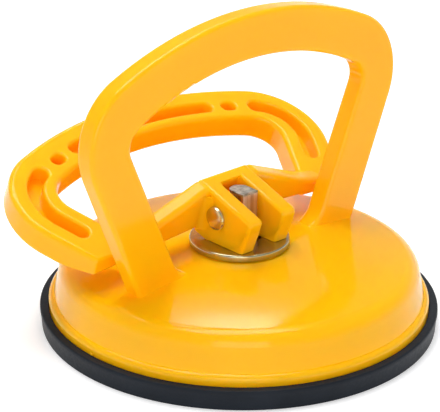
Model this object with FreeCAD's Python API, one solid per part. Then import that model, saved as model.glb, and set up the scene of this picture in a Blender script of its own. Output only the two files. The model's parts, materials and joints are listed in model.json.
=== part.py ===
import FreeCAD, Part
import math
import os
from FreeCAD import Placement, Rotation, Vector

# Floor tile suction lifter. Millimetres, +Z up, origin at the centre of the
# rubber disc's underside. X runs along the fixed handle and the hinge pin,
# and the lever lies out towards +Y.

# Rubber disc
pad_radius = 59.0
pad_height = 5.4
pad_edge_bevel = 0.8
pad_seal_width = 13.0
pad_dish_depth = 1.0
pad_dish_slope = 3.0

# Housing: flange, skirt and dome, all one wall thick
flange_inset = 2.3
flange_height = 3.8
flange_round = 1.5
flange_ledge = 1.6
skirt_draft = 12.0
dome_radius = 320.0
dome_top = 24.1
dome_edge_round = 5.0
wall = 2.6
washer_land = 1.0
rib_count = 8
rib_width = 1.8
rib_bore_radius = 30.0
rib_edge_rise = 1.0
guide_wall = 3.2

# Fixed handle, part of the housing
handle_front = -5.2
handle_thickness = 6.6
handle_round = 1.3
handle_level = 30.0
handle_foot_level = 22.9
handle_foot_round = 7.0
handle_half_width = 46.7
handle_splay = 21.8
handle_shoulder = 21.0
handle_crown = 113.0
handle_top = 95.7
grip_half_width = 30.9
grip_splay = 22.8
grip_shoulder = 6.2
grip_crown = 90.0
grip_top = 82.2
handle_pocket_depth = 3.4
handle_pocket_width = 4.6
handle_pocket_start = 44.0
handle_pocket_rib = 0.2

# Washer that the cam ears ride on
washer_radius = 14.9
washer_thickness = 2.0
washer_bevel = 0.45

# Stud, its plate and the hinge pin
stud_width = 5.8
stud_front = -4.3
stud_back = 3.2
stud_back_bulge = 2.6
stud_above_pin = 6.6
stud_collar_radius = 7.0
stud_collar_height = 1.6
spigot_radius = 3.5
plate_radius = 26.0
plate_thickness = 2.0
plate_gap = 0.3
pin_radius = 3.0
pin_head_overlap = 0.6
pin_head_height = 1.4
pin_head_bevel = 0.9
pin_tail_overlap = 0.5
pin_tail_height = 1.0
pin_tail_bevel = 0.8

# Lever. Its hub frame has the pin at the origin, v towards the crown and n
# towards the top. It lies tilted up at the lever's rest angle.
lever_rest_angle = 17.0
lever_travel = 69.0
lever_lift = 4.75
cam_gap = 0.10
cam_rest_depth = 8.15
ear_thickness = 5.35
ear_nose = 13.1
ear_top_front = 6.3
hub_top_back = 7.2
hub_crest_bevel = 0.9
hub_back = 10.6
hub_heel_bevel = 1.0
hub_heel_underside = 7.6
ear_round = 1.0
ear_tip_round = 1.6
slot_lip_round = 0.5
web_edge_round = 1.8
hub_slot_back = 7.7
hub_slot_lip = 6.5
hub_slot_lean_start = 2.0
ear_underside = 9.3
web_front = 4.7
web_start = 10.6
web_slope = 0.43
web_crest_drop = 0.2
web_round = 45.0
web_foot_level = 5.1
loop_tilt = 7.3
loop_top = -5.47
loop_thickness = 8.8
loop_round = 1.5
loop_level = 5.0
arm_start = -2.0
loop_half_width = 49.9
loop_splay = 26.0
loop_shoulder = 21.7
loop_crown = 124.0
loop_reach = 56.3
gap_half_width = 33.0
gap_splay = 26.0
gap_shoulder = 8.1
gap_crown = 103.0
gap_reach = 43.3
arm_end_depth = 10.6
arm_end_reach = 52.0
arm_end_slope = 0.09
arm_end_round = 0.8
arm_taper_end = 18.5
pocket_inset = 7.8
pocket_width = 4.6
pocket_depth = 5.0
arm_pocket_start = 15.5
arm_pocket_end = 0.10
oval_centre = 34.3
oval_length = 1.4
pocket_lip = 0.9
crown_pocket_end = 26.4

# Fits
guide_clearance = 0.3
spigot_clearance = 0.05
pin_fit = 0.05
washer_clearance = 1.25
ear_clearance = 1.15

housing_base = pad_height
pad_dish_radius = pad_radius - pad_seal_width
flange_radius = pad_radius - flange_inset
skirt_base_radius = flange_radius - flange_ledge
stud_corner = math.hypot(stud_width / 2, max(-stud_front, stud_back))
washer_bore_radius = stud_corner + washer_clearance
washer_top = dome_top + washer_thickness
pin_height = washer_top + cam_gap + cam_rest_depth
pin_axis_rise = lever_lift / math.radians(lever_travel)
pin_head_radius = pin_radius + pin_head_overlap
pin_tail_radius = pin_radius + pin_tail_overlap
ear_inner = stud_width / 2 + ear_clearance
ear_outer = ear_inner + ear_thickness


def polygon(points):
    return Part.Face(Part.makePolygon(points + [points[0]]))


def direction(angle):
    return Vector(math.cos(angle), math.sin(angle), 0)


def arc_edge(centre, radius, start, end):
    mid = (start + end) / 2
    return Part.Arc(
        centre + direction(start) * radius,
        centre + direction(mid) * radius,
        centre + direction(end) * radius,
    ).toShape()


# A handle loop in its own plane: splayed leg, shoulder arc, shallow crown arc.
def loop_shape(half_width, level, splay, shoulder, crown, reach, inset=0.0):
    lean = math.radians(splay)
    along = Vector(math.sin(lean), math.cos(lean), 0)
    inward = Vector(-math.cos(lean), math.sin(lean), 0)
    base = Vector(half_width - inset / math.cos(lean), level, 0)
    turn = shoulder - inset
    big = crown - inset
    crown_centre = Vector(0, reach - crown, 0)
    offset = base + inward * turn - crown_centre
    half = offset.dot(along)
    run = -half + math.sqrt(half * half - offset.dot(offset) + (big - turn) ** 2)
    centre = base + inward * turn + along * run
    toward = centre - crown_centre
    return {
        "along": along,
        "leg_end": centre - inward * turn,
        "centre": centre,
        "turn": turn,
        "leg_angle": -lean,
        "crown_angle": math.atan2(toward.y, toward.x),
        "crown_centre": crown_centre,
        "crown": big,
    }


def leg_point(shape, level):
    end = shape["leg_end"]
    return end + shape["along"] * ((level - end.y) / shape["along"].y)


def mirrored(point):
    return Vector(-point.x, point.y, point.z)


# The closed face inside one loop outline, cut off straight at a low level.
def loop_face(shape, low):
    foot = leg_point(shape, low)
    end = shape["leg_end"]
    shoulder = arc_edge(shape["centre"], shape["turn"], shape["leg_angle"], shape["crown_angle"])
    other = arc_edge(
        mirrored(shape["centre"]),
        shape["turn"],
        math.pi - shape["crown_angle"],
        math.pi - shape["leg_angle"],
    )
    crown = arc_edge(
        shape["crown_centre"],
        shape["crown"],
        shape["crown_angle"],
        math.pi - shape["crown_angle"],
    )
    edges = [
        Part.makeLine(foot, end),
        shoulder,
        crown,
        other,
        Part.makeLine(mirrored(end), mirrored(foot)),
        Part.makeLine(mirrored(foot), foot),
    ]
    return Part.Face(Part.Wire(edges))


# A round-ended pocket along a crown arc, between two places across the loop.
def crown_slot(shape, across_from, across_to, width):
    centre = shape["crown_centre"]
    start = math.acos(across_from / shape["crown"])
    end = math.acos(across_to / shape["crown"])
    outer = arc_edge(centre, shape["crown"] + width / 2, start, end)
    inner = arc_edge(centre, shape["crown"] - width / 2, end, start)
    cap_end = arc_edge(centre + direction(end) * shape["crown"], width / 2, end, end + math.pi)
    cap_start = arc_edge(centre + direction(start) * shape["crown"], width / 2, start - math.pi, start)
    return Part.Face(Part.Wire([outer, cap_end, inner, cap_start]))


# A round-ended pocket down one arm: part of the shoulder arc and of the leg.
def arm_slot(shape, low, end_angle, width):
    centre = shape["centre"]
    lean = shape["leg_angle"]
    foot = leg_point(shape, low)
    side = direction(lean) * (width / 2)
    end = shape["leg_end"]
    edges = [
        Part.makeLine(foot + side, end + side),
        arc_edge(centre, shape["turn"] + width / 2, lean, end_angle),
        arc_edge(centre + direction(end_angle) * shape["turn"], width / 2, end_angle, end_angle + math.pi),
        arc_edge(centre, shape["turn"] - width / 2, end_angle, lean),
        Part.makeLine(end - side, foot - side),
        arc_edge(foot, width / 2, lean - math.pi, lean),
    ]
    return Part.Face(Part.Wire(edges))


def both_sides(shape):
    return [shape, shape.mirror(Vector(0, 0, 0), Vector(1, 0, 0))]


def fuse_all(shapes):
    return shapes[0].fuse(shapes[1:]).removeSplitter()


# Rounds every edge that lies flat on one of the given levels along an axis.
def round_levels(solid, axis, levels, radius, keep=None):
    chosen = []
    for edge in solid.Edges:
        low = getattr(edge.BoundBox, axis + "Min")
        high = getattr(edge.BoundBox, axis + "Max")
        flat = any(abs(low - level) < 1e-4 and abs(high - level) < 1e-4 for level in levels)
        if flat and (keep is None or keep(edge)):
            chosen.append(edge)
    return solid.makeFillet(radius, chosen)


# Cuts pockets down from a level and rounds their mouths.
def sink(solid, cutters, level, lip):
    def at_mouth(edge):
        middle = Part.Vertex(edge.valueAt((edge.FirstParameter + edge.LastParameter) / 2))
        return any(cutter.distToShape(middle)[0] < 1e-3 for cutter in cutters)

    return round_levels(solid.cut(cutters), "Z", [level], lip, at_mouth)


# Where the dome's arc meets the rounded edge and the edge meets the skirt.
def dome_profile(inset):
    draft = math.radians(skirt_draft)
    up = Vector(-math.sin(draft), math.cos(draft), 0)
    inward = Vector(-math.cos(draft), -math.sin(draft), 0)
    base = Vector(skirt_base_radius, housing_base + flange_height, 0) + inward * inset
    centre = Vector(0, dome_top - dome_radius, 0)
    cap = dome_radius - inset
    turn = dome_edge_round - inset
    offset = base + inward * turn - centre
    half = offset.dot(up)
    run = -half + math.sqrt(half * half - offset.dot(offset) + (cap - turn) ** 2)
    edge_centre = base + inward * turn + up * run
    toward = edge_centre - centre
    return {
        "base": base,
        "skirt_end": edge_centre - inward * turn,
        "edge_centre": edge_centre,
        "turn": turn,
        "skirt_angle": draft,
        "dome_angle": math.atan2(toward.y, toward.x),
        "dome_end": centre + direction(math.atan2(toward.y, toward.x)) * cap,
        "centre": centre,
        "cap": cap,
    }


def dome_edges(profile, inner_radius):
    stop = math.acos(inner_radius / profile["cap"])
    return [
        Part.makeLine(profile["base"], profile["skirt_end"]),
        arc_edge(profile["edge_centre"], profile["turn"], profile["skirt_angle"], profile["dome_angle"]),
        arc_edge(profile["centre"], profile["cap"], profile["dome_angle"], stop),
    ]


# Turns a flat outline of radius and height round the vertical axis.
def revolved(edges):
    face = Part.Face(Part.Wire(edges))
    face.rotate(Vector(0, 0, 0), Vector(1, 0, 0), 90)
    return face.revolve(Vector(0, 0, 0), Vector(0, 0, 1), 360)


# A turned piece from a closed list of (radius, height) corners.
def turned(corners):
    points = [Vector(radius, height, 0) for radius, height in corners]
    lines = [Part.makeLine(start, end) for start, end in zip(points, points[1:] + points[:1])]
    return revolved(lines)


# A disc whose two rims are bevelled.
def bevelled_disc(radius, low, high, bevel):
    return turned(
        [
            (0, low),
            (radius - bevel, low),
            (radius, low + bevel),
            (radius, high - bevel),
            (radius - bevel, high),
            (0, high),
        ]
    )


def housing_body():
    profile = dome_profile(0.0)
    land = washer_radius - washer_land
    lip = flange_radius - flange_round
    top = housing_base + flange_height
    edges = dome_edges(profile, land)
    dome_inner = edges[-1].valueAt(edges[-1].LastParameter)
    outline = [
        Part.makeLine(Vector(0, housing_base, 0), Vector(flange_radius, housing_base, 0)),
        Part.makeLine(Vector(flange_radius, housing_base, 0), Vector(flange_radius, top - flange_round, 0)),
        arc_edge(Vector(lip, top - flange_round, 0), flange_round, 0, math.pi / 2),
        Part.makeLine(Vector(lip, top, 0), profile["base"]),
    ]
    outline += edges
    outline += [
        Part.makeLine(dome_inner, Vector(land - (dome_top - dome_inner.y), dome_top, 0)),
        Part.makeLine(Vector(land - (dome_top - dome_inner.y), dome_top, 0), Vector(0, dome_top, 0)),
        Part.makeLine(Vector(0, dome_top, 0), Vector(0, housing_base, 0)),
    ]
    return revolved(outline)


def housing_hollow():
    profile = dome_profile(wall)
    mouth = profile["base"].x
    return turned(
        [
            (0, housing_base - 1),
            (mouth, housing_base - 1),
            (mouth, profile["base"].y),
            (profile["skirt_end"].x, profile["skirt_end"].y),
            (profile["dome_end"].x, profile["dome_end"].y),
            (washer_radius, dome_top - wall),
            (0, dome_top - wall),
        ]
    )


def handle_loop(inset=0.0):
    return loop_shape(
        handle_half_width, handle_level, handle_splay, handle_shoulder, handle_crown, handle_top, inset
    )


def handle_grip():
    return loop_shape(grip_half_width, handle_level, grip_splay, grip_shoulder, grip_crown, grip_top)


# Stands a shape drawn in the loop plane upright, its thickness towards +Y.
def upright(shape):
    shape.rotate(Vector(0, 0, 0), Vector(1, 0, 0), 90)
    return shape


def handle_solid():
    low = (housing_base + dome_top) / 2
    outer = loop_face(handle_loop(), low)
    depth = Vector(0, 0, handle_thickness)
    grip = loop_face(handle_grip(), handle_foot_level).extrude(depth)
    corners = [edge for edge in grip.Edges if edge.BoundBox.YMax < handle_foot_level + 0.01]
    grip = grip.makeFillet(handle_foot_round, [edge for edge in corners if edge.BoundBox.XLength < 1])
    ring = outer.extrude(depth).cut(grip)
    ring = round_levels(ring, "Z", [0, handle_thickness], handle_round, lambda e: e.BoundBox.YMax > low + 1)
    ring.translate(Vector(0, 0, -handle_front - handle_thickness))
    return upright(ring)


# Cored-out pockets in the hidden back face keep the handle's wall even.
def handle_pockets():
    inset = (handle_top - grip_top) / 2
    shape = handle_loop(inset)
    arm = arm_slot(shape, handle_pocket_start, shape["crown_angle"] - handle_pocket_rib, handle_pocket_width)
    reach = shape["centre"].x - handle_pocket_width / 2
    faces = both_sides(arm) + [crown_slot(shape, reach, -reach, handle_pocket_width)]
    back = handle_front + handle_thickness
    cutters = []
    for face in faces:
        cutter = face.extrude(Vector(0, 0, handle_pocket_depth))
        cutter.translate(Vector(0, 0, -back))
        cutters.append(upright(cutter))
    return cutters


def stud_section(clearance, low, height):
    half = stud_width / 2 + clearance
    front = stud_front - clearance
    back = stud_back + clearance
    side = back - stud_back_bulge
    bulge = Part.Arc(Vector(half, side, low), Vector(0, back, low), Vector(-half, side, low)).toShape()
    edges = [
        Part.makeLine(Vector(-half, side, low), Vector(-half, front, low)),
        Part.makeLine(Vector(-half, front, low), Vector(half, front, low)),
        Part.makeLine(Vector(half, front, low), Vector(half, side, low)),
        bulge,
    ]
    return Part.Face(Part.Wire(edges)).extrude(Vector(0, 0, height))


def plate_top():
    return pad_height + plate_gap + plate_thickness


# The underside ribs start clear of the raised plate and reach the skirt.
def housing_ribs():
    clear = plate_top() + stud_collar_height + lever_lift + guide_clearance
    profile = dome_profile(0.0)
    skirt = profile["base"].x - wall / 2
    low = housing_base + rib_edge_rise
    ribs = []
    for index in range(rib_count):
        outline = [
            Vector(0, 0, clear),
            Vector(rib_bore_radius, 0, clear),
            Vector(skirt, 0, low),
            Vector(skirt, 0, low + 2),
            Vector(profile["dome_end"].x, 0, profile["dome_end"].y - wall / 2),
            Vector(0, 0, dome_top - wall / 2),
        ]
        rib = polygon(outline).extrude(Vector(0, rib_width, 0))
        rib.translate(Vector(0, -rib_width / 2, 0))
        rib.rotate(Vector(0, 0, 0), Vector(0, 0, 1), (index + 0.5) * 360 / rib_count)
        ribs.append(rib)
    boss_radius = stud_corner + guide_clearance + guide_wall
    ribs.append(Part.makeCylinder(boss_radius, dome_top - wall / 2 - clear, Vector(0, 0, clear)))
    return ribs


def make_housing():
    shell = housing_body().fuse(handle_solid()).cut(housing_hollow())
    solid = shell.fuse(housing_ribs()).removeSplitter()
    solid = solid.cut(stud_section(guide_clearance, 0, pin_height))
    return solid.cut(handle_pockets())


def make_cam_washer():
    disc = bevelled_disc(washer_radius, dome_top, washer_top, washer_bevel)
    hole = Part.makeCylinder(washer_bore_radius, 2 * washer_thickness, Vector(0, 0, dome_top - 1))
    return disc.cut(hole)


def make_rubber_pad():
    disc = bevelled_disc(pad_radius, 0, pad_height, pad_edge_bevel)
    dish = Part.makeCone(pad_dish_radius, pad_dish_radius - pad_dish_slope, pad_dish_depth)
    return disc.cut(dish)


def make_backing_plate():
    plate = Part.makeCylinder(plate_radius, plate_thickness, Vector(0, 0, pad_height + plate_gap))
    hole = Part.makeCylinder(
        spigot_radius + spigot_clearance, 2 * plate_thickness, Vector(0, 0, pad_height)
    )
    return plate.cut(hole)


def make_stud():
    low = plate_top()
    collar = Part.makeCylinder(stud_collar_radius, stud_collar_height, Vector(0, 0, low))
    spigot = Part.makeCylinder(spigot_radius, plate_thickness, Vector(0, 0, low - plate_thickness))
    shank = stud_section(0, low, pin_height + stud_above_pin - low)
    body = fuse_all([shank, collar, spigot])
    hole = Part.makeCylinder(
        pin_radius + pin_fit, 2 * stud_width, Vector(-stud_width, 0, pin_height), Vector(1, 0, 0)
    )
    return body.cut(hole)


def make_hinge_pin():
    face = ear_outer + pin_fit
    pin = turned(
        [
            (0, -face - pin_head_height),
            (pin_head_radius - pin_head_bevel, -face - pin_head_height),
            (pin_head_radius, -face - pin_head_height + pin_head_bevel),
            (pin_head_radius, -face),
            (pin_radius, -face),
            (pin_radius, face),
            (pin_tail_radius, face),
            (pin_tail_radius - pin_tail_bevel, face + pin_tail_height),
            (0, face + pin_tail_height),
        ]
    )
    pin.rotate(Vector(0, 0, 0), Vector(0, 1, 0), 90)
    pin.translate(Vector(0, 0, pin_height))
    return pin


# From the hub frame (x, v, n) to the lever's place at rest.
def at_rest(shape):
    shape.rotate(Vector(0, 0, 0), Vector(1, 0, 0), lever_rest_angle)
    shape.translate(Vector(0, 0, pin_height))
    return shape


# The nose of each cam ear. As the lever swings, the pin rises evenly, so the
# nose follows the envelope of the washer's top seen from the turning ear. Its
# front flat stands just inside the envelope's last point.
def cam_nose_points():
    points = []
    steps = 48
    for index in range(steps + 1):
        angle = math.radians(lever_rest_angle + lever_travel * index / steps)
        depth = cam_rest_depth + pin_axis_rise * (angle - math.radians(lever_rest_angle))
        v = -depth * math.sin(angle) - pin_axis_rise * math.cos(angle)
        n = -depth * math.cos(angle) + pin_axis_rise * math.sin(angle)
        points.append(Vector(0, v, n))
    return points


def ear_outline():
    rest = math.radians(lever_rest_angle)
    envelope = cam_nose_points()
    nose = [point for point in envelope if point.y > -ear_nose and point.z < 0]
    front = max(-ear_nose, envelope[-1].y)
    curve = Part.BSplineCurve()
    curve.interpolate(nose)
    flat_back = (cam_rest_depth - ear_underside * math.cos(rest)) / -math.sin(rest)
    low_back = Vector(0, flat_back, -ear_underside)
    corners = [
        low_back,
        Vector(0, hub_slot_back, -ear_underside),
        Vector(0, hub_back - hub_heel_bevel, -hub_heel_underside),
        Vector(0, hub_back, -hub_heel_underside),
        Vector(0, hub_back, hub_top_back - hub_crest_bevel),
        Vector(0, hub_back - hub_crest_bevel, hub_top_back),
        Vector(0, front, ear_top_front),
        Vector(0, front, envelope[-1].z),
    ]
    edges = [Part.makeLine(nose[0], low_back)]
    for start, end in zip(corners, corners[1:]):
        edges.append(Part.makeLine(start, end))
    edges.append(Part.makeLine(corners[-1], nose[-1]))
    edges.append(curve.toShape())
    return Part.Face(Part.Wire(Part.__sortEdges__(edges)))


# The gap between the ears. Its back wall leans in above the stud's sweep.
def stud_slot():
    clear = 2 * ear_nose
    outline = [
        Vector(-ear_inner, -clear, -clear),
        Vector(-ear_inner, hub_slot_back, -clear),
        Vector(-ear_inner, hub_slot_back, hub_slot_lean_start),
        Vector(-ear_inner, hub_slot_lip, hub_top_back),
        Vector(-ear_inner, hub_slot_lip, clear),
        Vector(-ear_inner, -clear, clear),
    ]
    return polygon(outline).extrude(Vector(2 * ear_inner, 0, 0))


# The cam's own edges, in front of and below the pin, stay crisp.
def off_the_cam(edge):
    box = edge.BoundBox
    return box.YMin > pin_radius or box.ZMax > 0


def above_the_pin(edge):
    return edge.BoundBox.ZMin > pin_radius


def slot_lip(edge):
    box = edge.BoundBox
    return box.ZMin > ear_top_front and abs(box.XLength - 2 * ear_inner) < 0.1


def ear_tip(edge):
    box = edge.BoundBox
    return box.YMax < -pin_radius and box.ZMin > ear_top_front - 0.01


def lever_hub():
    hub = ear_outline().extrude(Vector(2 * ear_outer, 0, 0))
    hub = hub.makeFillet(ear_tip_round, [edge for edge in hub.Edges if ear_tip(edge)])
    hub.translate(Vector(-ear_outer, 0, 0))
    hub = round_levels(hub, "X", [-ear_outer, ear_outer], ear_round, off_the_cam)
    hub = hub.cut(stud_slot())
    hub = round_levels(hub, "X", [-ear_inner, ear_inner], ear_round, above_the_pin)
    hub = hub.makeFillet(slot_lip_round, [edge for edge in hub.Edges if slot_lip(edge)])
    bore = Part.makeCylinder(
        pin_radius + pin_fit, 4 * ear_outer, Vector(-2 * ear_outer, 0, 0), Vector(1, 0, 0)
    )
    return hub.cut(bore)


def arm_underside(across):
    return (arm_end_reach - across) * arm_end_slope - arm_end_depth


# One web on each side: its crest runs down from the hub and eases into the arm.
def lever_web():
    lean = math.atan(web_slope)
    drop = web_round * (1 - math.cos(lean))
    ease_top = drop - web_foot_level
    crest = Vector(web_start, hub_top_back - web_crest_drop, 0)
    ease_start = web_start + (crest.y - ease_top) / web_slope
    ease_end = ease_start + web_round * math.sin(lean)
    centre = Vector(ease_end, web_round - web_foot_level, 0)
    start_angle = -math.pi / 2 - lean
    ease = arc_edge(centre, web_round, start_angle, -math.pi / 2)
    outline = [
        Part.makeLine(Vector(0, arm_underside(0), 0), Vector(0, crest.y, 0)),
        Part.makeLine(Vector(0, crest.y, 0), crest),
        Part.makeLine(crest, centre + direction(start_angle) * web_round),
        ease,
        Part.makeLine(Vector(ease_end, -web_foot_level, 0), Vector(ease_end, arm_underside(ease_end), 0)),
        Part.makeLine(Vector(ease_end, arm_underside(ease_end), 0), Vector(0, arm_underside(0), 0)),
    ]
    face = Part.Face(Part.Wire(outline))
    face.rotate(Vector(0, 0, 0), Vector(1, 0, 0), 90)
    web = face.extrude(Vector(0, hub_back - web_front, 0))
    web = round_levels(web, "Y", [0, hub_back - web_front], web_edge_round)
    web.translate(Vector(0, web_front, 0))
    return web.cut(stud_slot())


def lever_loop(inset=0.0):
    return loop_shape(
        loop_half_width, loop_level, loop_splay, loop_shoulder, loop_crown, loop_reach, inset
    )


def lever_gap():
    return loop_shape(gap_half_width, loop_level, gap_splay, gap_shoulder, gap_crown, gap_reach)


# From the loop's own plane to the hub frame.
def tilted(shape):
    shape.rotate(Vector(0, 0, 0), Vector(1, 0, 0), loop_tilt)
    return shape


def lever_plate():
    depth = Vector(0, 0, loop_thickness)
    plate = loop_face(lever_loop(), arm_start).extrude(depth)
    plate = plate.cut(loop_face(lever_gap(), arm_start - 1).extrude(depth))
    rims = [0, loop_thickness]
    plate = round_levels(plate, "Z", rims, loop_round, lambda e: e.BoundBox.YMax > arm_start + 1)
    plate = sink(plate, lever_pockets(), loop_thickness, pocket_lip)
    plate.translate(Vector(0, 0, loop_top - loop_thickness))
    return tilted(plate)


# Takes off the arms in front of the webs and thins their undersides there,
# sloped across to meet the webs' undersides.
def lever_trims():
    tilt = math.radians(loop_tilt)
    plane = (loop_top - loop_thickness) / math.cos(tilt) + arm_taper_end * math.tan(tilt)
    clear = loop_half_width + loop_shoulder
    outline = [
        Vector(0, web_front, clear),
        Vector(0, web_front, -arm_end_depth),
        Vector(0, arm_taper_end, plane),
        Vector(0, arm_taper_end, -clear),
        Vector(0, -clear, -clear),
        Vector(0, -clear, clear),
    ]
    side = polygon(outline).extrude(Vector(clear, 0, 0))
    corner = Vector(arm_end_reach, 0, -arm_end_depth)
    side.rotate(corner, Vector(0, 1, 0), math.degrees(math.atan(arm_end_slope)))
    return both_sides(side)


def lever_pockets():
    shape = lever_loop(pocket_inset)
    end_angle = shape["crown_angle"] - arm_pocket_end
    faces = both_sides(arm_slot(shape, arm_pocket_start, end_angle, pocket_width))
    for side in (-1, 1):
        near = side * oval_centre - oval_length / 2
        faces.append(crown_slot(shape, near + oval_length, near, pocket_width - 1))
    faces.append(crown_slot(shape, crown_pocket_end, -crown_pocket_end, pocket_width - 0.6))
    cutters = []
    for face in faces:
        cutter = face.extrude(Vector(0, 0, pocket_depth + 1))
        cutter.translate(Vector(0, 0, loop_thickness - pocket_depth))
        cutters.append(cutter)
    return cutters


def make_lever():
    plate = lever_plate().cut(lever_trims())
    plate = round_levels(plate, "Y", [web_front], arm_end_round)
    webs = both_sides(lever_web())
    return at_rest(fuse_all([plate, lever_hub()] + webs))


pieces = {
    "rubber_pad": make_rubber_pad,
    "housing": make_housing,
    "cam_washer": make_cam_washer,
    "backing_plate": make_backing_plate,
    "stud": make_stud,
    "hinge_pin": make_hinge_pin,
    "lever": make_lever,
}

os.makedirs("parts", exist_ok=True)
for name, make in pieces.items():
    solid = make()
    solid.exportStep("parts/" + name + ".step")
    print(name, len(solid.Solids), "solid", "valid" if solid.isValid() else "NOT VALID", round(solid.Volume))
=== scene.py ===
import json
import math

import bmesh
import bpy
from mathutils import Matrix, Vector, noise


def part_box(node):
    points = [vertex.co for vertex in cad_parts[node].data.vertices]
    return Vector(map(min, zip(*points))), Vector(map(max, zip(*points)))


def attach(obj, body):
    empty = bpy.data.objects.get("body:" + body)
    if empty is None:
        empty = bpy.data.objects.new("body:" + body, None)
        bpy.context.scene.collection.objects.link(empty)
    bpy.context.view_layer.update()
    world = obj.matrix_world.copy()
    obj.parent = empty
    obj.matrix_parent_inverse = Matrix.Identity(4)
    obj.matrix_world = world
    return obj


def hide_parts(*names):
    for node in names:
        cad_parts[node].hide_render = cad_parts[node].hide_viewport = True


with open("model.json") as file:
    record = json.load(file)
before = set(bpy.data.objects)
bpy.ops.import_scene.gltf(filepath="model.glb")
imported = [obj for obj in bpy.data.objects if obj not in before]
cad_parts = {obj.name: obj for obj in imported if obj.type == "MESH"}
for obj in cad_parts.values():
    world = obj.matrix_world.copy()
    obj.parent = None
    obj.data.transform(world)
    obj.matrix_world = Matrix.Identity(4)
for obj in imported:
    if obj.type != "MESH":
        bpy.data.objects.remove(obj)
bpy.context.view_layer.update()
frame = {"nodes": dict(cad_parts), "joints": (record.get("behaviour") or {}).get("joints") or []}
nodes = frame["nodes"]

millimetre = 0.001
mergeDistance = 1e-7
samePlace = 1e-6


def newGroup(name, inputs, outputs):
    group = bpy.data.node_groups.new(name, "ShaderNodeTree")
    addSocket = group.interface.new_socket
    for socketName, value in inputs.items():
        socket = addSocket(socketName, in_out="INPUT", socket_type="NodeSocketFloat")
        socket.default_value = value
    for socketName in outputs:
        addSocket(socketName, in_out="OUTPUT", socket_type="NodeSocketFloat")
    start = group.nodes.new("NodeGroupInput")
    end = group.nodes.new("NodeGroupOutput")
    return group, start, end


def newMaterial(name):
    material = bpy.data.materials.new(name)
    material.use_nodes = True
    shader = material.node_tree.nodes["Principled BSDF"]
    return material, material.node_tree, shader


def placeGroup(tree, group, values):
    node = tree.nodes.new("ShaderNodeGroup")
    node.node_tree = group
    for socketName, value in values.items():
        node.inputs[socketName].default_value = value
    return node


def blendColours(tree, mask, low, high):
    mix = tree.nodes.new("ShaderNodeMix")
    mix.data_type = "RGBA"
    mix.inputs["A"].default_value = (*low, 1)
    mix.inputs["B"].default_value = (*high, 1)
    tree.links.new(mask, mix.inputs["Factor"])
    return mix.outputs["Result"]


def spread(tree, mask, low, high):
    ranger = tree.nodes.new("ShaderNodeMapRange")
    ranger.inputs["To Min"].default_value = low
    ranger.inputs["To Max"].default_value = high
    tree.links.new(mask, ranger.inputs["Value"])
    return ranger.outputs["Result"]


def bumpNormal(tree, height, distance, strength):
    bump = tree.nodes.new("ShaderNodeBump")
    bump.inputs["Strength"].default_value = strength
    bump.inputs["Distance"].default_value = distance
    tree.links.new(height, bump.inputs["Height"])
    return bump.outputs["Normal"]


cloudDefaults = {"Scale": 60, "Detail": 3, "Low": 0.35, "High": 0.65, "StretchZ": 1}


# A soft cloudy mask. A small StretchZ draws it out into streaks along a bar.
def buildCloud(defaults):
    group, start, end = newGroup("cloud", defaults, ["Mask"])
    place = group.nodes.new("ShaderNodeTexCoord")
    stretch = group.nodes.new("ShaderNodeCombineXYZ")
    stretch.inputs["X"].default_value = 1
    stretch.inputs["Y"].default_value = 1
    scaled = group.nodes.new("ShaderNodeVectorMath")
    scaled.operation = "MULTIPLY"
    clouds = group.nodes.new("ShaderNodeTexNoise")
    ranger = group.nodes.new("ShaderNodeMapRange")
    link = group.links.new
    link(start.outputs["StretchZ"], stretch.inputs["Z"])
    link(place.outputs["Object"], scaled.inputs[0])
    link(stretch.outputs["Vector"], scaled.inputs[1])
    link(scaled.outputs["Vector"], clouds.inputs["Vector"])
    link(start.outputs["Scale"], clouds.inputs["Scale"])
    link(start.outputs["Detail"], clouds.inputs["Detail"])
    link(clouds.outputs["Fac"], ranger.inputs["Value"])
    link(start.outputs["Low"], ranger.inputs["From Min"])
    link(start.outputs["High"], ranger.inputs["From Max"])
    link(ranger.outputs["Result"], end.inputs["Mask"])
    return group


cloud = buildCloud(cloudDefaults)


# A broad cloud turns the colour, and a fine grain the gloss and the bumps.
def dressShader(tree, shader, look):
    shade = placeGroup(tree, cloud, look["shade"]).outputs["Mask"]
    grain = placeGroup(tree, cloud, look["grain"]).outputs["Mask"]
    colour = blendColours(tree, shade, *look["colours"])
    roughness = spread(tree, grain, *look["roughness"])
    normal = bumpNormal(tree, grain, look["grainDepth"], look["grainStrength"])
    tree.links.new(colour, shader.inputs["Base Color"])
    tree.links.new(roughness, shader.inputs["Roughness"])
    tree.links.new(normal, shader.inputs["Normal"])


# Glossy yellow moulded plastic, which lets a little light through.
plasticLook = {
    "colours": ((0.93, 0.455, 0.002), (0.95, 0.48, 0.003)),
    "shade": {"Scale": 22, "Detail": 2},
    "roughness": (0.10, 0.13),
    "grain": {"Scale": 500, "Detail": 2, "Low": 0.2, "High": 0.8},
    "grainDepth": 0.000003,
    "grainStrength": 0.3,
    "specular": 0.22,
    "scatter": 0.8,
    "scatterReach": 0.005,
    "scatterColour": (1.8, 0.7, 0.1),
}


def makePlastic(name, look):
    material, tree, shader = newMaterial(name)
    dressShader(tree, shader, look)
    shader.subsurface_method = "BURLEY"
    shader.inputs["Specular IOR Level"].default_value = look["specular"]
    shader.inputs["Subsurface Weight"].default_value = look["scatter"]
    shader.inputs["Subsurface Radius"].default_value = look["scatterColour"]
    shader.inputs["Subsurface Scale"].default_value = look["scatterReach"]
    return material


# Yellow zinc on steel: the washer and the plate.
zincLook = {
    "colours": ((0.44, 0.43, 0.30), (0.50, 0.43, 0.18)),
    "shade": {"Scale": 190, "Detail": 4, "Low": 0.38, "High": 0.62},
    "roughness": (0.20, 0.28),
    "grain": {"Scale": 1800, "Detail": 2, "Low": 0.2, "High": 0.8},
    "grainDepth": 0.000004,
    "grainStrength": 0.4,
}

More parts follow.
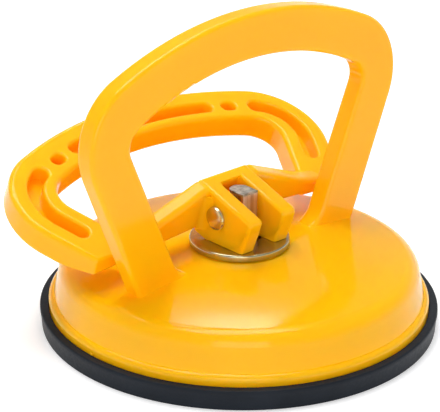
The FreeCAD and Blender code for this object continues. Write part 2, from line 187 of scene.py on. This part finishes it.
pinLook = {**zincLook, "colours": ((0.66, 0.63, 0.46), (0.66, 0.57, 0.28))}

# The stud is a drawn bar, with streaks along it.
studLook = {
    **zincLook,
    "colours": ((0.66, 0.56, 0.52), (0.36, 0.24, 0.17)),
    "shade": {**zincLook["shade"], "Scale": 700, "StretchZ": 0.05},
    "roughness": (0.28, 0.45),
    "grain": {**zincLook["grain"], "StretchZ": 0.05},
}

# Its cut end is bare and torn.
shearedLook = {
    **zincLook,
    "colours": ((0.22, 0.21, 0.18), (0.50, 0.47, 0.41)),
    "shade": {**zincLook["shade"], "Scale": 620},
    "roughness": (0.45, 0.65),
    "grainDepth": 0.00006,
}


def makeMetal(name, look):
    material, tree, shader = newMaterial(name)
    dressShader(tree, shader, look)
    shader.inputs["Metallic"].default_value = 1
    return material


# Black moulded rubber.
rubberLook = {
    "colours": ((0.006, 0.009, 0.014), (0.010, 0.014, 0.021)),
    "shade": {"Scale": 70, "Detail": 4},
    "roughness": (0.42, 0.58),
    "grain": {"Scale": 1400, "Detail": 3, "Low": 0.2, "High": 0.8},
    "grainDepth": 0.00004,
    "grainStrength": 0.4,
    "specular": 0.15,
}


def makeRubber(name, look):
    material, tree, shader = newMaterial(name)
    dressShader(tree, shader, look)
    shader.inputs["Specular IOR Level"].default_value = look["specular"]
    return material


housingPlastic = makePlastic("housingPlastic", plasticLook)
leverPlastic = makePlastic("leverPlastic", plasticLook)
# Light that goes into the small pieces would be lost where they are sunk in others.
smallPlastic = makePlastic("smallPlastic", {**plasticLook, "scatter": 0})
washerZinc = makeMetal("washerZinc", zincLook)
pinZinc = makeMetal("pinZinc", pinLook)
studZinc = makeMetal("studZinc", studLook)
shearedSteel = makeMetal("shearedSteel", shearedLook)
plateZinc = makeMetal("plateZinc", zincLook)
padRubber = makeRubber("padRubber", rubberLook)
materialOf = {
    "housing": housingPlastic,
    "lever": leverPlastic,
    "cam_washer": washerZinc,
    "hinge_pin": pinZinc,
    "stud": studZinc,
    "backing_plate": plateZinc,
    "rubber_pad": padRubber,
}
for node, material in materialOf.items():
    nodes[node].data.materials.clear()
    nodes[node].data.materials.append(material)
print("materials ready")


# Hands a finished shape over to the body it moves with.
def finishPiece(name, shape, material, body, stands=(), smoothAngle=35):
    bmesh.ops.remove_doubles(shape, verts=shape.verts, dist=mergeDistance)
    bmesh.ops.recalc_face_normals(shape, faces=shape.faces)
    for face in shape.faces:
        face.smooth = True
    for edge in shape.edges:
        edge.smooth = edge.calc_face_angle(0) < math.radians(smoothAngle)
    mesh = bpy.data.meshes.new(name)
    shape.to_mesh(mesh)
    shape.free()
    mesh.materials.append(material)
    piece = bpy.data.objects.new(name, mesh)
    bpy.context.scene.collection.objects.link(piece)
    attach(piece, body)
    if stands:
        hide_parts(*stands)
    return piece


def inMetres(corners):
    return [(across * millimetre, up * millimetre) for across, up in corners]


# Spins a closed outline of (radius, height) corners, in metres, round the upright axis.
def turnedShape(corners, steps):
    shape = bmesh.new()
    ring = [shape.verts.new((radius, 0, height)) for radius, height in corners]
    for start, end in zip(ring, ring[1:] + ring[:1]):
        shape.edges.new((start, end))
    bmesh.ops.spin(
        shape,
        geom=shape.verts[:] + shape.edges[:],
        axis=(0, 0, 1),
        cent=(0, 0, 0),
        angle=math.tau,
        steps=steps,
        use_merge=True,
    )
    bmesh.ops.remove_doubles(shape, verts=shape.verts, dist=mergeDistance)
    return shape


# Pushes a flat outline into a solid.
def pushedShape(points, push):
    shape = bmesh.new()
    face = shape.faces.new([shape.verts.new(point) for point in points])
    grown = bmesh.ops.extrude_face_region(shape, geom=[face])
    moved = [v for v in grown["geom"] if isinstance(v, bmesh.types.BMVert)]
    bmesh.ops.translate(shape, verts=moved, vec=push)
    return shape


# Rounds the edges that a test picks. The radius is in millimetres.
def roundEdges(shape, radius, segments, picked):
    bmesh.ops.bevel(
        shape,
        geom=[edge for edge in shape.edges if picked(edge)],
        offset=radius * millimetre,
        offset_type="OFFSET",
        segments=segments,
        profile=0.5,
        affect="EDGES",
        material=-1,
    )


# An edge that runs round the axis at about the given radius and height, in metres.
def ringEdge(edge, radius, height, near=1e-5):
    return all(
        abs(math.hypot(v.co.x, v.co.y) - radius) < near and abs(v.co.z - height) < near
        for v in edge.verts
    )


# The cam washer, stamped, so one rim is rolled and the other has a slight burr.
washerMake = {"bore": 6.436, "dieRoll": 0.55, "burr": 0.15, "steps": 192}


def makeWasher(make):
    low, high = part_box("cam_washer")
    rim = high.x
    bore = make["bore"] * millimetre
    outline = [(bore, low.z), (rim, low.z), (rim, high.z), (bore, high.z)]
    shape = turnedShape(outline, make["steps"])

    def onBurr(edge):
        return ringEdge(edge, rim, low.z) or ringEdge(edge, bore, high.z)

    roundEdges(shape, make["dieRoll"], 5, lambda edge: ringEdge(edge, rim, high.z))
    roundEdges(shape, make["burr"], 2, onBurr)
    finishPiece("camWasher", shape, washerZinc, "housing", ["cam_washer"])


makeWasher(washerMake)
print("washer ready")


# The rubber disc. Its side tapers to the foot and has a lip at the top.
discMake = {
    "topRadius": 59.35,
    "footRadius": 58.9,
    "footRound": 0.2,
    "edgeRound": 0.5,
    "lipWidth": 1.6,
    "lipStep": (0.2, 0.4),
    "collarInner": 56.95,
    "collarRise": 0.7,
    "grooves": (46.8, 50.4, 54.0),
    "grooveWidth": 0.9,
    "grooveDepth": 0.45,
    "grooveSlope": 0.2,
    "dishRadius": 44.5,
    "dishFlat": 41.5,
    "dishDepth": 1.0,
    "steps": 256,
}


# A collar stands round the flange, and the face has a dish and sealing rings.
def makeDisc(make):
    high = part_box("rubber_pad")[1].z / millimetre
    rim = high + make["collarRise"]
    top = make["topRadius"]
    lipIn, lipUp = make["lipStep"]
    lipLow = rim - make["lipWidth"]
    corners = [
        (0, make["dishDepth"]),
        (make["dishFlat"], make["dishDepth"]),
        (make["dishRadius"], 0),
    ]
    for radius in make["grooves"]:
        corners += [
            (radius, 0),
            (radius + make["grooveSlope"], make["grooveDepth"]),
            (radius + make["grooveWidth"] - make["grooveSlope"], make["grooveDepth"]),
            (radius + make["grooveWidth"], 0),
        ]
    corners += [
        (make["footRadius"] - make["footRound"], 0),
        (make["footRadius"], make["footRound"]),
        (top - lipIn, lipLow),
        (top, lipLow + lipUp),
        (top, rim),
        (make["collarInner"], rim),
        (make["collarInner"], high),
        (0, high),
    ]
    shape = turnedShape(inMetres(corners), make["steps"])
    rimPlace = (top * millimetre, rim * millimetre)
    roundEdges(shape, make["edgeRound"], 4, lambda edge: ringEdge(edge, *rimPlace))
    finishPiece("rubberDisc", shape, padRubber, "housing", ["rubber_pad"])


makeDisc(discMake)
print("rubber disc ready")


# What is left of the mould's gate, low on the flange.
nubMake = {"place": (-56.75, 0, 6.5), "size": (0.7, 1.1, 0.8), "round": 0.15}


def makeNub(make):
    shape = bmesh.new()
    bmesh.ops.create_cube(shape, size=millimetre)
    bmesh.ops.scale(shape, verts=shape.verts, vec=make["size"])
    roundEdges(shape, make["round"], 3, lambda edge: True)
    bmesh.ops.translate(shape, verts=shape.verts, vec=Vector(make["place"]) * millimetre)
    finishPiece("gateNub", shape, smallPlastic, "housing")


makeNub(nubMake)
print("gate nub ready")


# The cam: where the pin is, how far the lever turns and the stud rises with it, how
# much the hub slopes at rest, and the gap that the ears leave over the washer.
jointOf = {joint["name"]: joint for joint in frame["joints"]}
pinAxis = Vector(jointOf["lever_fold"]["pos_m"])
foldRange = math.radians(jointOf["lever_fold"]["range_deg"][1])
lift = jointOf["stud_lift"]["range_m"][1] / millimetre
hubSlope = math.radians(17.0)
camGap = 0.1
pinDrop = (pinAxis.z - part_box("cam_washer")[1].z) / millimetre - camGap


# From the hub's own directions, along and above, to the lever's place at rest.
def hubPoint(x, along, above):
    y = along * math.cos(hubSlope) - above * math.sin(hubSlope)
    z = along * math.sin(hubSlope) + above * math.cos(hubSlope)
    return Vector((x, y, z)) * millimetre + pinAxis


# The tip is where the washer's top meets itself, seen from the ear at rest and folded.
def noseTip():
    folded = hubSlope + foldRange
    high = pinDrop + lift
    turned = math.sin(foldRange)
    along = (pinDrop * math.cos(folded) - high * math.cos(hubSlope)) / turned
    above = (high * math.sin(hubSlope) - pinDrop * math.sin(folded)) / turned
    return along, above


# The cam noses are the ears' sharp lower corners.
noseMake = {
    "reach": 13.1,
    "frontTop": 3.04,
    "flatStart": -5.6,
    "inner": 4.06,
    "outer": 9.39,
    "round": 1.0,
}


def makeNose(name, side, make):
    along = make["flatStart"]
    above = (-pinDrop - along * math.sin(hubSlope)) / math.cos(hubSlope)
    corners = [(-make["reach"], make["frontTop"]), noseTip(), (along, above)]
    thick = (make["outer"] - make["inner"]) * millimetre
    inner = [hubPoint(side * make["inner"], *corner) for corner in corners]
    shape = pushedShape(inner, (side * thick, 0, 0))
    rims = [
        [hubPoint(side * make[where], *corner) for corner in corners[:2]]
        for where in ("inner", "outer")
    ]

    def onRim(vert, rim):
        return min((vert.co - end).length for end in rim) < samePlace

    def onFront(edge):
        return any(all(onRim(vert, rim) for vert in edge.verts) for rim in rims)

    roundEdges(shape, make["round"], 6, onFront)
    finishPiece(name, shape, smallPlastic, "lever")


makeNose("camNoseLeft", -1, noseMake)
makeNose("camNoseRight", 1, noseMake)
print("cam noses ready")


# The hinge pin has a domed head and a peened tail, each a radius and a height.
pinMake = {
    "shank": 3.0,
    "face": 9.45,
    "head": (3.6, 1.4),
    "tail": (3.5, 1.0),
    "rim": 0.35,
    "rimRound": 0.25,
    "crown": 0.5,
    "crownSteps": ((0.45, 0.12), (0.75, 0.5), (0.92, 1)),
    "steps": 96,
}


def makePin(make):
    face = make["face"]
    rim = face + make["rim"]
    ends = ((-1, *make["head"]), (1, *make["tail"]))
    corners = [(0, face + make["tail"][1]), (0, -face - make["head"][1])]
    for end, radius, height in ends:
        outline = [
            (radius * share, end * (face + height - make["crown"] * drop))
            for share, drop in make["crownSteps"]
        ]
        outline += [(radius, end * rim), (radius, end * face), (make["shank"], end * face)]
        corners += outline if end < 0 else outline[::-1]
    shape = turnedShape(inMetres(corners), make["steps"])

    def onRim(edge):
        return any(
            ringEdge(edge, radius * millimetre, end * rim * millimetre)
            for end, radius, height in ends
        )

    roundEdges(shape, make["rimRound"], 3, onRim)
    across = Matrix.Rotation(math.pi / 2, 3, "Y")
    bmesh.ops.rotate(shape, verts=shape.verts, cent=(0, 0, 0), matrix=across)
    bmesh.ops.translate(shape, verts=shape.verts, vec=pinAxis)
    finishPiece("hingePin", shape, pinZinc, "stud", ["hinge_pin"])


makePin(pinMake)
print("hinge pin ready")


# Fillets where the webs meet the ears, in the hub's own directions.
filletMake = {
    "ear": 9.4,
    "web": 4.7,
    "round": 2.4,
    "low": -6.6,
    "high": 5.0,
    "bury": 0.4,
    "segments": 8,
}


def makeFillet(name, side, make):
    reach = make["round"]
    buried = make["bury"]
    outline = [
        (make["ear"] - buried, make["web"] + buried),
        (make["ear"] + reach, make["web"] + buried),
        (make["ear"] + reach, make["web"]),
        (make["ear"], make["web"] - reach),
        (make["ear"] - buried, make["web"] - reach),
    ]
    foot = [(side * across, along, make["low"]) for across, along in outline]
    shape = pushedShape(foot, (0, 0, make["high"] - make["low"]))

    # One of the two edges that run straight across the corner.
    def isSlant(edge):
        x, y, z = edge.verts[0].co - edge.verts[1].co
        square = abs(abs(x) - reach) < samePlace and abs(abs(y) - reach) < samePlace
        return square and abs(z) < samePlace

    slant = [edge for edge in shape.edges if isSlant(edge)]
    cuts = make["segments"] - 1
    bmesh.ops.subdivide_edges(shape, edges=slant, cuts=cuts, use_grid_fill=True)
    hollow = Vector((side * (make["ear"] + reach), make["web"] - reach, 0))
    onArc = reach * 0.999
    for vert in shape.verts:
        out = Vector((vert.co.x, vert.co.y, 0)) - hollow
        if 0 < out.length < onArc:
            vert.co += out.normalized() * (reach - out.length)
    for vert in shape.verts:
        vert.co = hubPoint(*vert.co)
    finishPiece(name, shape, smallPlastic, "lever")


makeFillet("webFilletLeft", -1, filletMake)
makeFillet("webFilletRight", 1, filletMake)
print("web fillets ready")


# The stud's top, where the bar was sheared: a torn face with a burr along its front.
studTopMake = {
    "halfWidth": 2.92,
    "front": -4.32,
    "back": 3.22,
    "bulge": 2.6,
    "depth": 0.5,
    "stand": 0.07,
    "rough": 0.07,
    "tearScale": 600,
    "tear": (1.0, 2.0, 4),
    "burr": 0.22,
    "burrWidth": 0.45,
    "burrTorn": (0.7, 0.6),
    "cells": 40,
}


def makeStudTop(make):
    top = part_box("stud")[1].z
    half = make["halfWidth"]
    cells = make["cells"]
    bend = (half * half + make["bulge"] ** 2) / (2 * make["bulge"])
    shape = bmesh.new()
    bmesh.ops.create_grid(shape, x_segments=cells, y_segments=cells, size=1)
    for vert in shape.verts:
        across = math.sin(vert.co.x * math.pi / 2) * half
        back = make["back"] - bend + math.sqrt(bend * bend - across * across)
        y = make["front"] + (back - make["front"]) * (vert.co.y + 1) / 2
        vert.co = Vector((across * millimetre, y * millimetre, top))
    grown = bmesh.ops.extrude_face_region(shape, geom=shape.faces[:])
    raised = [v for v in grown["geom"] if isinstance(v, bmesh.types.BMVert)]
    sunk = make["depth"] * millimetre
    bmesh.ops.translate(shape, verts=shape.verts, vec=(0, 0, -sunk))
    bmesh.ops.translate(shape, verts=raised, vec=(0, 0, sunk))
    evenBurr, tornBurr = make["burrTorn"]
    for vert in raised:
        torn = noise.fractal(vert.co * make["tearScale"], *make["tear"])
        inward = (vert.co.y / millimetre - make["front"]) / make["burrWidth"]
        burr = make["burr"] * max(0, 1 - inward) * (evenBurr + tornBurr * torn)
        vert.co.z += (make["stand"] + make["rough"] * torn + burr) * millimetre
    finishPiece("studTop", shape, shearedSteel, "stud", smoothAngle=60)


makeStudTop(studTopMake)
print("stud top ready")


# Floor and backdrop.
stageLook = {
    "floorSize": 6.0,
    "floorColour": (0.80, 0.80, 0.80),
    "floorRoughness": 0.9,
    "floorSpecular": 0.1,
    "floorGlow": 0.38,
    "glowElsewhere": 0.5,
    "horizon": (1, 1, 1),
    "ceiling": (0.42, 0.42, 0.43),
    "fade": (0.14, 0.30),
}


# The camera and the metal see the floor's whole glow, and the part is lit by a share.
def makeFloor(look):
    mesh = bpy.data.meshes.new("floor")
    plane = bmesh.new()
    bmesh.ops.create_grid(plane, x_segments=1, y_segments=1, size=look["floorSize"] / 2)
    plane.to_mesh(mesh)
    plane.free()
    floor = bpy.data.objects.new("floor", mesh)
    bpy.context.scene.collection.objects.link(floor)
    material, tree, shader = newMaterial("floorPaper")
    shader.inputs["Base Color"].default_value = (*look["floorColour"], 1)
    shader.inputs["Roughness"].default_value = look["floorRoughness"]
    shader.inputs["Specular IOR Level"].default_value = look["floorSpecular"]
    shader.inputs["Emission Color"].default_value = (1, 1, 1, 1)
    path = tree.nodes.new("ShaderNodeLightPath")
    seen = None
    for ray in ("Is Camera Ray", "Is Glossy Ray", "Is Transmission Ray"):
        both = tree.nodes.new("ShaderNodeMath")
        both.operation = "MAXIMUM"
        both.inputs[1].default_value = look["glowElsewhere"]
        tree.links.new(path.outputs[ray], both.inputs[0])
        if seen:
            tree.links.new(seen, both.inputs[1])
        seen = both.outputs["Value"]
    glow = spread(tree, seen, 0, look["floorGlow"])
    tree.links.new(glow, shader.inputs["Emission Strength"])
    mesh.materials.append(material)


# White round the horizon, darker overhead.
def makeWorld(look):
    world = bpy.data.worlds.new("studio")
    bpy.context.scene.world = world
    world.use_nodes = True
    tree = world.node_tree
    place = tree.nodes.new("ShaderNodeTexCoord")
    split = tree.nodes.new("ShaderNodeSeparateXYZ")
    tree.links.new(place.outputs["Generated"], split.inputs["Vector"])
    ranger = tree.nodes.new("ShaderNodeMapRange")
    ranger.inputs["From Min"].default_value = look["fade"][0]
    ranger.inputs["From Max"].default_value = look["fade"][1]
    tree.links.new(split.outputs["Z"], ranger.inputs["Value"])
    sky = blendColours(tree, ranger.outputs["Result"], look["horizon"], look["ceiling"])
    tree.links.new(sky, tree.nodes["Background"].inputs["Color"])


makeFloor(stageLook)
makeWorld(stageLook)

# Soft lamps, all aimed at the middle of the floor under the part.
softboxes = {
    "topBox": {"place": (0.05, 0.21, 1.1), "size": (0.75, 0.75), "power": 10.0},
    "frontBox": {"place": (-0.9, -1.0, 0.5), "size": (0.8, 0.8), "power": 5.1},
    "backBox": {
        "place": (0.550, 0.583, 0.833),
        "size": (0.38, 0.075),
        "power": 0.56,
        "shape": "ELLIPSE",
    },
    "haloBox": {
        "place": (0.571, 0.620, 0.780),
        "size": (0.46, 0.10),
        "power": 0.06,
        "shape": "ELLIPSE",
    },
    "sideBox": {"place": (1.45, 0.39, 0.42), "size": (1.27, 0.69), "power": 0.4},
}


def addSoftbox(name, place, size, power, shape="RECTANGLE"):
    lamp = bpy.data.lights.new(name, "AREA")
    lamp.shape = shape
    lamp.size, lamp.size_y = size
    lamp.energy = power
    box = bpy.data.objects.new(name, lamp)
    box.location = place
    box.rotation_euler = (-Vector(place)).to_track_quat("-Z", "Y").to_euler()
    bpy.context.scene.collection.objects.link(box)


for name, box in softboxes.items():
    addSoftbox(name, **box)

cameraLook = {
    "lens": 155.45,
    "azimuth": -42.996,
    "elevation": 23.113,
    "roll": 0.527,
    "distance": 0.557915,
    "aimHeight": 0.035,
    "aside": -0.005863,
    "above": 0.000414,
    "clipStart": 0.01,
}


def makeCamera(look):
    turn = math.radians(look["azimuth"])
    rise = math.radians(look["elevation"])
    roll = math.radians(look["roll"])
    level = Vector((math.sin(turn), -math.cos(turn), 0))
    right = Vector((math.cos(turn), math.sin(turn), 0))
    back = level * math.cos(rise) + Vector((0, 0, math.sin(rise)))
    up = back.cross(right)
    aim = Vector((0, 0, look["aimHeight"])) + right * look["aside"] + up * look["above"]
    rolledRight = right * math.cos(roll) + up * math.sin(roll)
    rolledUp = up * math.cos(roll) - right * math.sin(roll)
    turned = Matrix((rolledRight, rolledUp, back)).transposed().to_4x4()
    lens = bpy.data.cameras.new("camera")
    lens.lens = look["lens"]
    lens.clip_start = look["clipStart"]
    camera = bpy.data.objects.new("camera", lens)
    camera.matrix_world = Matrix.Translation(aim + back * look["distance"]) @ turned
    bpy.context.scene.collection.objects.link(camera)
    bpy.context.scene.camera = camera


makeCamera(cameraLook)
bpy.context.scene.view_settings.view_transform = "Standard"
print("stage ready")
